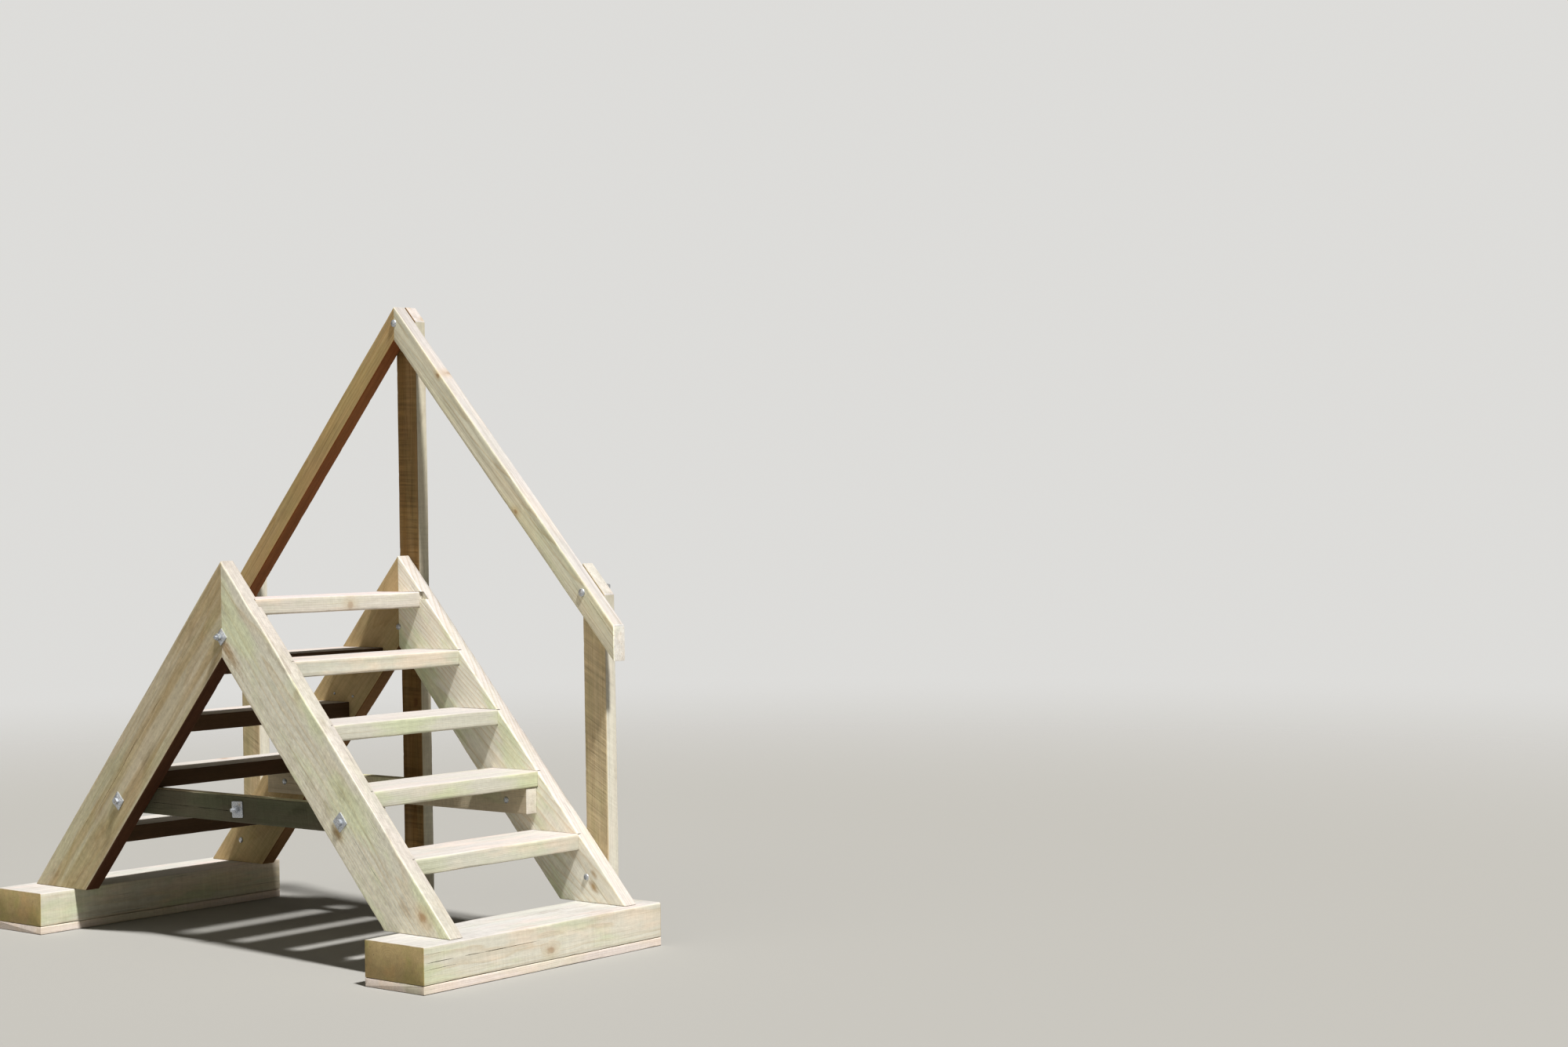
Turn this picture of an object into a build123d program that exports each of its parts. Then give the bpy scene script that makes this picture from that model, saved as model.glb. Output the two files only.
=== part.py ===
from build123d import *
import math
import os

# Wooden A-frame step stile with a handrail on one side.
# Millimetres. X runs along the walking line, Y along the treads, Z up.
# The origin is on the ground, under the apex, midway along the sills.

# Sawn timber sections
stringer_thickness = 50.0
stringer_depth = 200.0
tread_thickness = 50.0
tread_width = 200.0
rail_thickness = 50.0
rail_depth = 75.0
post_thickness = 45.0
post_width = 90.0
tie_thickness = 45.0
tie_depth = 80.0
sill_thickness = 105.0
sill_width = 240.0
sole_thickness = 25.0

# The two flights
clear_width = 655.0
apex_height = 1045.0
foot_reach = 976.0
first_rise = 203.0
top_tread_drop = 116.0
treads_per_flight = 4
housing_depth = 12.0
housing_clearance = 0.3
tread_end_clearance = 0.5
tread_edge_radius = 4.0
top_housing_slot_height = 24.0

# The sills
sill_toe = 29.0
sill_overhang_open_side = 126.0
sill_overhang_rail_side = 73.0
sill_edge_radius = 3.0

# The ties, one on the inner face of each pair of stringers, ending short of their front edges
tie_end_setback = 88.5

# The handrail and its posts
rail_height = 800.0
end_post_setback = 159.0
rail_end_overhang = 82.0
rail_edge_radius = 5.0
post_edge_radius = 1.5

# Bolt holes
bolt_hole_diameter = 13.0
apex_bolt_drop = 229.0
rail_apex_bolt_drop = 54.0
rail_end_bolt_drop = 40.0
post_foot_bolt_height = 75.0
tie_bolt_inset = 87.0

# Levels and planes worked out from the sizes above
sole_top = sole_thickness
sill_top = sole_top + sill_thickness
apex_z = sill_top + apex_height
slope = apex_height / foot_reach
stretch = math.sqrt(1.0 + slope * slope)
stringer_plumb = stringer_depth * stretch
rail_plumb = rail_depth * stretch
rail_apex_z = apex_z + rail_height
end_post_reach = foot_reach - end_post_setback
rail_end_reach = end_post_reach + post_width / 2 + rail_end_overhang
rail_bolt_z = rail_apex_z - slope * end_post_reach - rail_end_bolt_drop
post_foot_bolt_z = sill_top + post_foot_bolt_height
apex_bolt_z = apex_z - apex_bolt_drop

sill_length = sill_overhang_open_side + clear_width + 2 * stringer_thickness + sill_overhang_rail_side
open_outer = -sill_length / 2 + sill_overhang_open_side
open_inner = open_outer + stringer_thickness
rail_inner = open_inner + clear_width
rail_outer = rail_inner + stringer_thickness
middle = (open_inner + rail_inner) / 2

tread_length = clear_width + 2 * (housing_depth - tread_end_clearance)
platform_top = apex_z - top_tread_drop
tread_rise = (platform_top - sill_top - first_rise) / treads_per_flight
step_tops = [sill_top + first_rise + step * tread_rise for step in range(treads_per_flight)]
tie_top = step_tops[1] - tread_thickness
tie_middle_z = tie_top - tie_depth / 2
tie_reach = (apex_z - tie_middle_z) / slope - tie_end_setback
tie_bolt_reach = tie_reach - tie_bolt_inset
sill_front = foot_reach + sill_toe
sill_back = sill_front - sill_width


def box_between(x0, x1, y0, y1, z0, z1):
    """A square-edged block between two corners."""
    centre = Pos((x0 + x1) / 2, (y0 + y1) / 2, (z0 + z1) / 2)
    return centre * Box(abs(x1 - x0), abs(y1 - y0), abs(z1 - z0))


def profile_along_y(points, y0, y1):
    """A side profile in X and Z, drawn out from y0 to y1."""
    plane = Plane(origin=(0, y0, 0), x_dir=(1, 0, 0), z_dir=(0, -1, 0))
    face = plane * make_face(Polyline(*points, close=True))
    return extrude(face, amount=y1 - y0, dir=(0, 1, 0))


def hole_along_y(x, z, y0, y1):
    """A bolt hole parallel to the treads, a little longer than the timber it goes through."""
    overrun = 2.0
    length = y1 - y0 + 2 * overrun
    return Pos(x, (y0 + y1) / 2, z) * Rot(90, 0, 0) * Cylinder(bolt_hole_diameter / 2, length)


def ease(solid, axis, radius):
    """Round the long edges of a timber that runs parallel to an axis."""
    return fillet(solid.edges().filter_by(axis), radius)


def mirrored(solid):
    """The matching piece of the other flight."""
    return mirror(solid, about=Plane.YZ)


def slope_z(x, height):
    """Height at x of a line that falls from the apex plane at the flight's slope."""
    return height - slope * x


def slope_x(z):
    """Where the stringers' front edge reaches a level."""
    return (apex_z - z) / slope


def housing(back, nose, top, height, inner_face_y, inward):
    """A stopped housing in a stringer's inner face that a tread's end drops into."""
    return box_between(
        back - housing_clearance,
        nose + housing_clearance,
        inner_face_y + inward * 1.0,
        inner_face_y - inward * housing_depth,
        top - height,
        top + housing_clearance,
    )


def stringer(y0, y1, inner_face_y, inward):
    """A front stringer: plumb cut at the apex, level cut at the foot, housed for the treads.

    The top tread sits back from the stringer's edge, so its housing runs out in a short slot.
    """
    foot_back = (apex_z - stringer_plumb - sill_top) / slope
    outline = [
        (0, apex_z),
        (foot_reach, sill_top),
        (foot_back, sill_top),
        (0, apex_z - stringer_plumb),
    ]
    body = profile_along_y(outline, y0, y1)
    for top in step_tops:
        body -= housing(slope_x(top) - tread_width, slope_x(top), top, tread_thickness, inner_face_y, inward)
    top_nose = tread_width / 2
    body -= housing(-1.0, top_nose, platform_top, tread_thickness, inner_face_y, inward)
    slot_front = slope_x(platform_top - top_housing_slot_height) + 1.0
    body -= housing(top_nose, slot_front, platform_top, top_housing_slot_height, inner_face_y, inward)
    body -= hole_along_y(0, apex_bolt_z, y0, y1)
    body -= hole_along_y(tie_bolt_reach, tie_middle_z, y0, y1)
    return body


def tread(top, nose):
    """A plank with eased edges, its ends let into the stringers on both sides."""
    y0 = middle - tread_length / 2
    y1 = middle + tread_length / 2
    plank = box_between(nose - tread_width, nose, y0, y1, top - tread_thickness, top)
    return ease(plank, Axis.Y, tread_edge_radius)


def tie(y0, y1):
    """A level tie across the two stringers of one side, tight under the second treads."""
    bar = box_between(-tie_reach, tie_reach, y0, y1, tie_top - tie_depth, tie_top)
    for x in (-tie_bolt_reach, tie_bolt_reach):
        bar -= hole_along_y(x, tie_middle_z, y0, y1)
    return bar


def sill():
    """The front bearer under the stringer feet."""
    half = sill_length / 2
    block = box_between(sill_back, sill_front, -half, half, sole_top, sill_top)
    return ease(block, Axis.Y, sill_edge_radius)


def sole_plank():
    """The thin plank between the front sill and the ground."""
    half = sill_length / 2
    return box_between(sill_back, sill_front, -half, half, 0, sole_top)


def handrail():
    """The front rail: plumb cut where it meets its pair and at its lower end."""
    outline = [
        (0, rail_apex_z),
        (rail_end_reach, slope_z(rail_end_reach, rail_apex_z)),
        (rail_end_reach, slope_z(rail_end_reach, rail_apex_z) - rail_plumb),
        (0, rail_apex_z - rail_plumb),
    ]
    rail = profile_along_y(outline, rail_outer - rail_thickness, rail_outer)
    level_edges = rail.edges().filter_by(Axis.Y) + rail.edges().filter_by(Axis.Z)
    long_edges = [edge for edge in rail.edges() if edge not in level_edges]
    sloping = [edge for edge in long_edges if edge.length > rail_depth * 2]
    rail = fillet(sloping, rail_edge_radius)
    rail -= hole_along_y(0, rail_apex_z - rail_apex_bolt_drop, rail_outer - rail_thickness, rail_outer)
    rail -= hole_along_y(end_post_reach, rail_bolt_z, rail_outer - rail_thickness, rail_outer)
    return rail


def end_post():
    """A short post on the sill, beside the stringer, its top cut flush with the rail."""
    left = end_post_reach - post_width / 2
    right = end_post_reach + post_width / 2
    outline = [
        (left, sill_top),
        (right, sill_top),
        (right, slope_z(right, rail_apex_z)),
        (left, slope_z(left, rail_apex_z)),
    ]
    post = profile_along_y(outline, rail_outer, rail_outer + post_thickness)
    post = ease(post, Axis.Z, post_edge_radius)
    post -= hole_along_y(end_post_reach, rail_bolt_z, rail_outer, rail_outer + post_thickness)
    post -= hole_along_y(end_post_reach, post_foot_bolt_z, rail_outer, rail_outer + post_thickness)
    return post


def centre_post():
    """The tall post from the ground to the meeting rails, with a top cut to both slopes."""
    half = post_width / 2
    outline = [
        (-half, 0),
        (half, 0),
        (half, slope_z(half, rail_apex_z)),
        (0, rail_apex_z),
        (-half, slope_z(half, rail_apex_z)),
    ]
    post = profile_along_y(outline, rail_outer, rail_outer + post_thickness)
    post = ease(post, Axis.Z, post_edge_radius)
    for z in (rail_apex_z - rail_apex_bolt_drop, apex_bolt_z):
        post -= hole_along_y(0, z, rail_outer, rail_outer + post_thickness)
    return post


pieces = {}

open_stringer = stringer(open_outer, open_inner, open_inner, 1)
rail_stringer = stringer(rail_inner, rail_outer, rail_inner, -1)
rail_stringer -= hole_along_y(end_post_reach, post_foot_bolt_z, rail_inner, rail_outer)
pieces["stringer_front_open_side"] = open_stringer
pieces["stringer_back_open_side"] = mirrored(open_stringer)
pieces["stringer_front_rail_side"] = rail_stringer
pieces["stringer_back_rail_side"] = mirrored(rail_stringer)

for step, top in enumerate(step_tops, start=1):
    plank = tread(top, slope_x(top))
    pieces[f"tread_front_{step}"] = plank
    pieces[f"tread_back_{step}"] = mirrored(plank)
pieces["tread_top"] = tread(platform_top, tread_width / 2)

pieces["sill_front"] = sill()
pieces["sill_back"] = mirrored(sill())
pieces["sole_plank_front"] = sole_plank()
pieces["sole_plank_back"] = mirrored(sole_plank())
open_tie = tie(open_inner, open_inner + tie_thickness)
open_tie -= hole_along_y(0, tie_middle_z, open_inner, open_inner + tie_thickness)
pieces["tie_open_side"] = open_tie
pieces["tie_rail_side"] = tie(rail_inner - tie_thickness, rail_inner)
pieces["handrail_front"] = handrail()
pieces["handrail_back"] = mirrored(handrail())
pieces["rail_post_front"] = end_post()
pieces["rail_post_back"] = mirrored(end_post())
pieces["rail_post_centre"] = centre_post()

os.makedirs("parts", exist_ok=True)
for name, piece in pieces.items():
    piece.label = name
    export_step(piece, f"parts/{name}.step")
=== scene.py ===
import itertools
import math
from collections import namedtuple

import bmesh
import bpy
import numpy as np
from mathutils import Matrix, Vector


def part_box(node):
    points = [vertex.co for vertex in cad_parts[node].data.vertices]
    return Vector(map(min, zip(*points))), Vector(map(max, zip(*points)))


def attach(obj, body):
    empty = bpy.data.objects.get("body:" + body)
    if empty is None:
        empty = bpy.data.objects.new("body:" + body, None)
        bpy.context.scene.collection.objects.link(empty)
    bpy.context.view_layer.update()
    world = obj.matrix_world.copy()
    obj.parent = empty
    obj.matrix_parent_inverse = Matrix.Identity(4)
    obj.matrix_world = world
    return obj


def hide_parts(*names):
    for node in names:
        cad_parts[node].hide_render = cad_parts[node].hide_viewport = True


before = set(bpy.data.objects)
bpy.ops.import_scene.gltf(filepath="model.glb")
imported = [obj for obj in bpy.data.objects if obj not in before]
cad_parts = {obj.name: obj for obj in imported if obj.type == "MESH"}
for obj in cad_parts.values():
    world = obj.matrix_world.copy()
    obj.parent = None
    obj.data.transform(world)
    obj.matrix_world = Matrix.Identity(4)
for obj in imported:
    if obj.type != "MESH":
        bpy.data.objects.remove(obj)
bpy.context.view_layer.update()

# Places in metres, from the boxes of the CAD nodes
(_, OPEN_OUTER, SILL_TOP), (FOOT_X, OPEN_INNER, APEX_Z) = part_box("stringer_front_open_side")
(_, RAIL_INNER, _), (_, RAIL_OUTER, _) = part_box("stringer_front_rail_side")
_, (RAIL_END, _, RAIL_APEX_Z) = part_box("handrail_front")
(_, _, TIE_UNDER), (TIE_END, OPEN_TIE_FACE, TIE_TOP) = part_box("tie_open_side")
RAIL_TIE_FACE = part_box("tie_rail_side")[0].y
(POST_X0, _, _), (POST_X1, POST_FACE, _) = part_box("rail_post_front")
POST_X = (POST_X0 + POST_X1) / 2
TIE_MID_Z = (TIE_UNDER + TIE_TOP) / 2
SLOPE = (APEX_Z - SILL_TOP) / FOOT_X
STRETCH = math.sqrt(1 + SLOPE * SLOPE)
COS, SIN = 1 / STRETCH, SLOPE / STRETCH

# Sizes that the boxes don't give, as in the CAD source
STRINGER_DEPTH, RAIL_DEPTH = 0.200, 0.075
HOUSING, HOUSING_GAP, TOP_SLOT = 0.012, 0.0003, 0.024
APEX_BOLT_DROP, TIE_BOLT_INSET, POST_FOOT_BOLT = 0.229, 0.087, 0.075
RAIL_APEX_BOLT_DROP, RAIL_END_BOLT_DROP = 0.054, 0.040

FRONT_TREADS = ["tread_front_1", "tread_front_2", "tread_front_3", "tread_front_4"]

# A board's x and y axes in the scene: along its grain, and across it
ALONG_X = (1, 0, 0), (0, 1, 0)
ALONG_Y = (0, 1, 0), (-1, 0, 0)
ALONG_Z = (0, 0, 1), (1, 0, 0)


def down_slope(sign):
    """Axes of a timber that falls from the apex to the front (1) or to the back (-1)."""
    return (sign * COS, 0, -SIN), (sign * SIN, 0, COS)


# Noise on arrays
def cell_value(ix, iy, iz, seed):
    h = (ix * 374761393 + iy * 668265263 + iz * 1440662683 + seed * 1274126177) & 0xFFFFFFFF
    h = ((h ^ (h >> 13)) * 1103515245) & 0xFFFFFFFF
    h = ((h ^ (h >> 15)) * 2246822519) & 0xFFFFFFFF
    return ((h ^ (h >> 16)) & 0xFFFFFF) / float(0xFFFFFF)


def noise(x, y, z, seed):
    """Smooth value noise from 0 to 1."""
    x, y, z = np.broadcast_arrays(*(np.asarray(v, float) for v in (x, y, z)))
    whole = [np.floor(v).astype(np.int64) for v in (x, y, z)]
    part = [v - w for v, w in zip((x, y, z), whole)]
    part = [f * f * (3 - 2 * f) for f in part]
    total = np.zeros(x.shape)
    for corner in itertools.product((0, 1), repeat=3):
        weight = 1.0
        for d, f in zip(corner, part):
            weight = weight * (f if d else 1 - f)
        total += weight * cell_value(*(w + d for w, d in zip(whole, corner)), seed)
    return total


# Node trees
class Tree:
    """Short calls for building one material's nodes."""

    def __init__(self, name):
        self.material = bpy.data.materials.new(name)
        self.material.use_nodes = True
        self.tree = self.material.node_tree
        self.tree.nodes.clear()
        self.shader = self.node("BsdfPrincipled")
        self.node("OutputMaterial", self.shader.outputs[0])

    def node(self, kind, *values):
        """A new node with its first inputs linked or set. None leaves an input as it is."""
        n = self.tree.nodes.new("ShaderNode" + kind)
        for socket, value in zip(n.inputs, values):
            self.put(socket, value)
        return n

    def put(self, socket, value):
        if isinstance(value, bpy.types.NodeSocket):
            self.tree.links.new(value, socket)
        elif value is not None:
            socket.default_value = value

    def set(self, name, value):
        """Link or set one of the shader's own inputs."""
        self.put(self.shader.inputs[name], value)

    def math(self, op, a, b=None):
        n = self.node("Math", a, b)
        n.operation = op
        return n.outputs[0]

    def add(self, a, b):
        return self.math("ADD", a, b)

    def sub(self, a, b):
        return self.math("SUBTRACT", a, b)

    def mul(self, a, b):
        return self.math("MULTIPLY", a, b)

    def hypot(self, a, b):
        return self.math("SQRT", self.add(self.mul(a, a), self.mul(b, b)))

    def vec(self, op, a, b=None):
        n = self.node("VectorMath", a, b)
        n.operation = op
        return n.outputs["Value" if op == "LENGTH" else "Vector"]

    def attribute(self, name, vector=False):
        n = self.node("Attribute")
        n.attribute_name = name
        return n.outputs["Vector" if vector else "Fac"]

    def split(self, v):
        return self.node("SeparateXYZ", v).outputs

    def join(self, x, y, z):
        return self.node("CombineXYZ", x, y, z).outputs[0]

    def noise(self, v, scale=1.0, detail=2.0, rough=0.5, colour=False):
        n = self.node("TexNoise", v)
        for name, value in (("Scale", scale), ("Detail", detail), ("Roughness", rough)):
            self.put(n.inputs[name], value)
        return n.outputs["Color" if colour else "Fac"]

    def range(self, v, lo, hi, to_lo=0.0, to_hi=1.0, smooth=True):
        n = self.node("MapRange", v, lo, hi, to_lo, to_hi)
        n.interpolation_type = "SMOOTHSTEP" if smooth else "LINEAR"
        n.clamp = True
        return n.outputs[0]

    def curve(self, v, stops):
        """A ramp of greys: (place, grey) pairs."""
        n = self.node("ValToRGB", v)
        ramp = n.color_ramp
        while len(ramp.elements) < len(stops):
            ramp.elements.new(0.5)
        for e, (place, grey) in zip(ramp.elements, stops):
            e.position = place
            e.color = (grey, grey, grey, 1)
        return n.outputs[0]

    def mix(self, amount, a, b, blend="MIX"):
        n = self.node("Mix", amount)
        n.data_type, n.blend_type = "RGBA", blend
        n.clamp_factor = True
        for socket, value in ((n.inputs[6], a), (n.inputs[7], b)):
            if isinstance(value, tuple):
                value = (*value, 1.0)
            self.put(socket, value)
        return n.outputs[2]

    def times(self, colour, other):
        return self.mix(1.0, colour, other, "MULTIPLY")

    def tint(self, colour, amount, tone):
        """The colour times a tone, as far as amount says."""
        return self.times(colour, self.mix(amount, (1.0, 1.0, 1.0), tone))

    def shade(self, colour, v, lo, hi, at_lo, at_hi):
        """The colour times a grey that goes evenly from at_lo to at_hi with v."""
        return self.times(colour, self.range(v, lo, hi, at_lo, at_hi, smooth=False))

    def bump(self, height, strength, distance):
        n = self.node("Bump")
        n.inputs["Strength"].default_value = strength
        n.inputs["Distance"].default_value = distance
        self.put(n.inputs["Height"], height)
        return n.outputs[0]


# Sawn pine
LATE = (0.47, 0.33, 0.17)
GREEN = (0.55, 0.61, 0.39)
PINK = (0.80, 0.66, 0.53)
LINES = (0.60, 0.50, 0.34)
BROWN = (0.74, 0.60, 0.36)
DIRT = (0.52, 0.47, 0.38)
WORN = (0.72, 0.64, 0.52)
BUTT = (0.66, 0.60, 0.50)
STAIN = (0.50, 0.33, 0.16)
KNOT = (0.30, 0.155, 0.062)
KNOT_RINGS = (0.20, 0.09, 0.035)
KNOT_EDGE = (0.13, 0.062, 0.028)
KNOT_HALO = (0.46, 0.31, 0.16)

# Grey of the late wood through one year's ring, and of the rings in a knot
RING = [(0.0, 0.10), (0.10, 0.0), (0.58, 0.12), (0.82, 0.60), (0.93, 1.0), (1.0, 0.12)]
KNOT_RING = [(0.0, 0.1), (0.6, 0.35), (0.9, 1.0), (1.0, 0.1)]
KNOT_RINGS_PER_METRE = 430.0
KNOT_DRAWN_FOR = 0.012

# Where a flat side ends and its rounded corner begins, and where an end cut begins in the butt values
CORNER = 0.004
END_CUT = 0.94, 0.985

# What a look says where a board doesn't. pith is the trunk's middle in the section and tilt its lean,
# ring the rings' width and drift their wander; knots are (x, y, z, size) and knot how far they show.
# painted_highlight_face names a face painted paler, with less green and brown, as a washed-out highlight
# where the key light falls, and stains are (x, y, z, reach, size, strength).
# Each face's tone paints light and shade on it, and the end tone is partly end grain's own colour and partly
# painted light.
PLAIN_LOOK = dict(
    tilt=(0.0, 0.0), ring=0.0075, drift=0.035, knots=(), knot=0.6, streak=0.10, mottle=0.07, lines=0.10,
    brown=0.0, painted_highlight_face=None, planed=False, check=0.6, edge=0.20, stains=(), end=(1.0, 1.0, 1.0), painted_light_and_shade={},
)


class Wood(Tree):
    """Treated pine seen in the board's own frame, so grain, knots and end grain agree."""

    def __init__(self, board):
        super().__init__("wood_" + board.name)
        self.board, self.seed = board, board.seed
        self.look = {**PLAIN_LOOK, **board.look}
        self.place = self.attribute("grain", vector=True)
        self.x, self.y, self.z = self.split(self.place)
        self.worn, self.butt = self.attribute("worn"), self.attribute("butt")
        self.fibre = self.cells(14.0, 620.0, 1, rough=0.6)
        self.mottle = self.cells(55.0, 120.0, 8, detail=3.0, rough=0.65)
        self.knots = None  # what the knots cover, their halo, and the distance from the nearest
        band = self.late_wood()
        saw, check = self.saw_marks(), self.checks()
        colour = self.weathered(self.timber(band), saw, check)
        if self.knots:
            colour = self.knotted(colour)
        self.set("Base Color", self.toned(self.stained(colour)))
        self.surface(band, saw, check)

    def cells(self, along, across, number, detail=2.0, rough=0.5, colour=False):
        """Noise with so many cells a metre along the grain and across it."""
        n = self.seed + number
        v = self.vec("MULTIPLY", self.place, (along, across, across))
        v = self.vec("ADD", v, (n * 3.17, n * 1.31, n * 2.73))
        return self.noise(v, 1.0, detail, rough, colour)

    def on_face(self, side, off=0.0, on=1.0):
        """on all over the named flat side of the board, off elsewhere and round its corners."""
        axis, end = side[0], int(side[1])
        edge = getattr(self.board, axis)[end]
        inward = -CORNER if end else CORNER
        return self.range(getattr(self, axis), edge + inward, edge + inward * 0.4, off, on)

    def sway(self, along, across, number, detail, amount):
        """A shift across the grain that changes along it."""
        v = self.cells(along, across, number, detail, colour=True)
        v = self.vec("SUBTRACT", v, (0.5, 0.5, 0.5))
        return self.vec("MULTIPLY", v, (0.0, amount, amount))

    def late_wood(self):
        """The dark part of each growth ring, round a pith that runs near the board."""
        look = self.look
        (pith_y, pith_z), (tilt_y, tilt_z) = look["pith"], look["tilt"]
        v = self.vec("ADD", self.place, self.sway(1.1, 5.0, 0, 1.5, look["drift"]))
        v = self.vec("ADD", v, self.sway(9.0, 40.0, 3, 1.0, 0.0035))
        x, y, z = self.split(v)
        y = self.sub(self.sub(y, pith_y), self.mul(x, tilt_y))
        z = self.sub(self.sub(z, pith_z), self.mul(x, tilt_z))
        radius = self.hypot(y, z)
        for knot in look["knots"]:
            radius = self.bend_round(knot, radius)
        rings = self.math("DIVIDE", radius, look["ring"])
        rings = self.add(rings, self.mul(self.cells(0.6, 22.0, 5, detail=0.0), 1.4))
        band = self.curve(self.math("FRACT", rings), RING)
        vary = self.noise(self.join(self.mul(rings, 0.55), self.seed * 1.7, 0.0), 1.0, 1.0)
        band = self.mul(band, self.range(vary, 0.25, 0.75, 0.35, 1.0))
        if self.knots:
            band = self.mul(band, self.range(self.knots[1], 0.0, 0.5, 1.0, 0.4))
        return band

    def bend_round(self, knot, radius):
        """Add a knot that runs out from the pith to self.knots, and bend the rings round it."""
        kx, ky, kz, size = knot
        (pith_y, pith_z), (tilt_y, tilt_z) = self.look["pith"], self.look["tilt"]
        pith_y, pith_z = pith_y + kx * tilt_y, pith_z + kx * tilt_z
        a = math.atan2(kz - pith_z, ky - pith_y)
        y, z = self.sub(self.y, pith_y), self.sub(self.z, pith_z)
        side = self.sub(self.mul(z, math.cos(a)), self.mul(y, math.sin(a)))
        out = self.add(self.mul(y, math.cos(a)), self.mul(z, math.sin(a)))
        along = self.mul(self.sub(self.x, kx), 0.62)
        wave = self.mul(self.sub(self.cells(70, 70, 9), 0.5), size * 1.1)
        far = self.mul(self.add(self.hypot(side, along), wave), KNOT_DRAWN_FOR / size)
        this_side = self.range(out, 0.0, math.hypot(ky - pith_y, kz - pith_z) * 0.3)
        cover = self.mul(self.range(far, 0.0150, 0.0045), this_side)
        halo = self.mul(self.range(far, 0.042, 0.008), this_side)
        radius = self.sub(radius, self.mul(self.mul(halo, halo), size * 1.2))
        if self.knots:
            cover = self.math("MAXIMUM", self.knots[0], cover)
            halo = self.math("MAXIMUM", self.knots[1], halo)
            far = self.math("MINIMUM", self.knots[2], far)
        self.knots = cover, halo, far
        return radius

    def saw_marks(self):
        """Ridges left by the saw, weak on end cuts and on a planed face."""
        angle, pitch, _ = self.look["saw"]
        across = self.add(self.x, self.mul(self.add(self.y, self.z), math.tan(angle)))
        v = self.join(self.math("DIVIDE", across, pitch), self.mul(self.y, 6.0), self.mul(self.z, 6.0))
        saw = self.sub(self.noise(v, 1.0, 2.0, 0.6), 0.5)
        saw = self.mul(saw, self.range(self.cells(3.0, 8.0, 13), 0.35, 0.65, 0.35, 1.0))
        saw = self.mul(saw, self.range(self.butt, *END_CUT, 1.0, 0.15))
        if self.look["planed"]:
            saw = self.mul(saw, self.on_face("y1", 1.0, 0.25))
        return saw

    def checks(self):
        """Short drying checks, in some places only."""
        check = self.range(self.cells(2.6, 210.0, 21, detail=1.0), 0.70, 0.76)
        area = self.range(self.cells(4.0, 16.0, 22, detail=1.0), 0.50, 0.62)
        return self.mul(self.mul(check, area), self.look["check"])

    def timber(self, band):
        """Early and late wood, treatment green, pink patches, streaks, fibres and warm stains."""
        look = self.look
        # The named face gets less green and brown: a painted washed-out highlight where the key light falls.
        painted_washout = 1.0
        if look["painted_highlight_face"]:
            painted_washout = self.sub(1.0, self.mul(self.on_face(look["painted_highlight_face"]), 0.7))
        colour = self.mix(self.mul(band, look["contrast"]), look["base"], LATE)
        green = self.range(self.cells(3.0, 9.0, 6, detail=3.0, rough=0.6), 0.44, 0.64)
        colour = self.mix(self.mul(self.mul(green, look["green"]), painted_washout), colour, GREEN)
        pink = self.range(self.cells(3.6, 12.0, 7, detail=3.0, rough=0.6), 0.46, 0.66)
        colour = self.mix(self.mul(pink, look["pink"]), colour, PINK)
        colour = self.shade(colour, self.cells(2.2, 70.0, 2), 0.25, 0.75, 1 - look["streak"], 1.04)
        colour = self.shade(colour, self.fibre, 0.25, 0.75, 0.94, 1.04)
        coarse = look["mottle"]
        colour = self.shade(colour, self.mottle, 0.30, 0.70, 1 - coarse, 1 + 0.7 * coarse)
        lines = self.cells(2.6, 250.0, 14, rough=0.55)
        colour = self.tint(colour, self.range(lines, 0.46, 0.26, 0.0, look["lines"] * 2.2), LINES)
        if look["brown"]:
            warm = self.range(self.cells(1.0, 16.0, 15), 0.44, 0.58)
            colour = self.tint(colour, self.mul(self.mul(warm, look["brown"]), painted_washout), BROWN)
        return colour

    def weathered(self, colour, saw, check):
        """Saw marks, checks, dirt, worn corners and ends that have drunk more."""
        strength = self.look["saw"][2]
        colour = self.shade(colour, saw, -0.22, 0.22, 1 - 0.35 * strength, 1 + 0.12 * strength)
        colour = self.shade(colour, check, 0.0, 1.0, 1.0, 0.42)
        dirt = self.range(self.cells(6.0, 14.0, 31, detail=4.0, rough=0.7), 0.52, 0.74)
        colour = self.tint(colour, self.mul(dirt, self.look["dirt"]), DIRT)
        colour = self.mix(self.mul(self.worn, self.look["edge"]), colour, WORN)
        return self.tint(colour, self.mul(self.butt, 0.14), BUTT)

    def knotted(self, colour):
        cover, halo, far = self.knots
        shown = self.look["knot"]
        rings = self.math("FRACT", self.mul(far, KNOT_RINGS_PER_METRE))
        heart = self.mix(self.curve(rings, KNOT_RING), KNOT, KNOT_RINGS)
        rim = self.mul(self.range(far, 0.0080, 0.0116), self.range(self.mottle, 0.35, 0.6))
        heart = self.mix(rim, heart, KNOT_EDGE)
        colour = self.mix(self.mul(halo, 0.7 * shown), colour, KNOT_HALO)
        return self.mix(self.mul(cover, shown), colour, heart)

    def stained(self, colour):
        """Brown stains with ragged edges, longer along the grain than across it."""
        for x, y, z, reach, size, strength in self.look["stains"]:
            v = self.vec("SUBTRACT", self.place, (x, y, z))
            v = self.vec("MULTIPLY", v, (1 / reach, 1 / size, 1 / size))
            far = self.add(self.vec("LENGTH", v), self.mul(self.sub(self.mottle, 0.5), 0.7))
            colour = self.tint(colour, self.mul(self.range(far, 1.15, 0.0), strength), STAIN)
        return colour

    def toned(self, colour):
        """The end cuts' tone, partly end grain's own colour and partly painted light, and each named face's
        tone: painted light and shade.
        """
        colour = self.tint(colour, self.range(self.butt, *END_CUT), self.look["end"])
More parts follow.
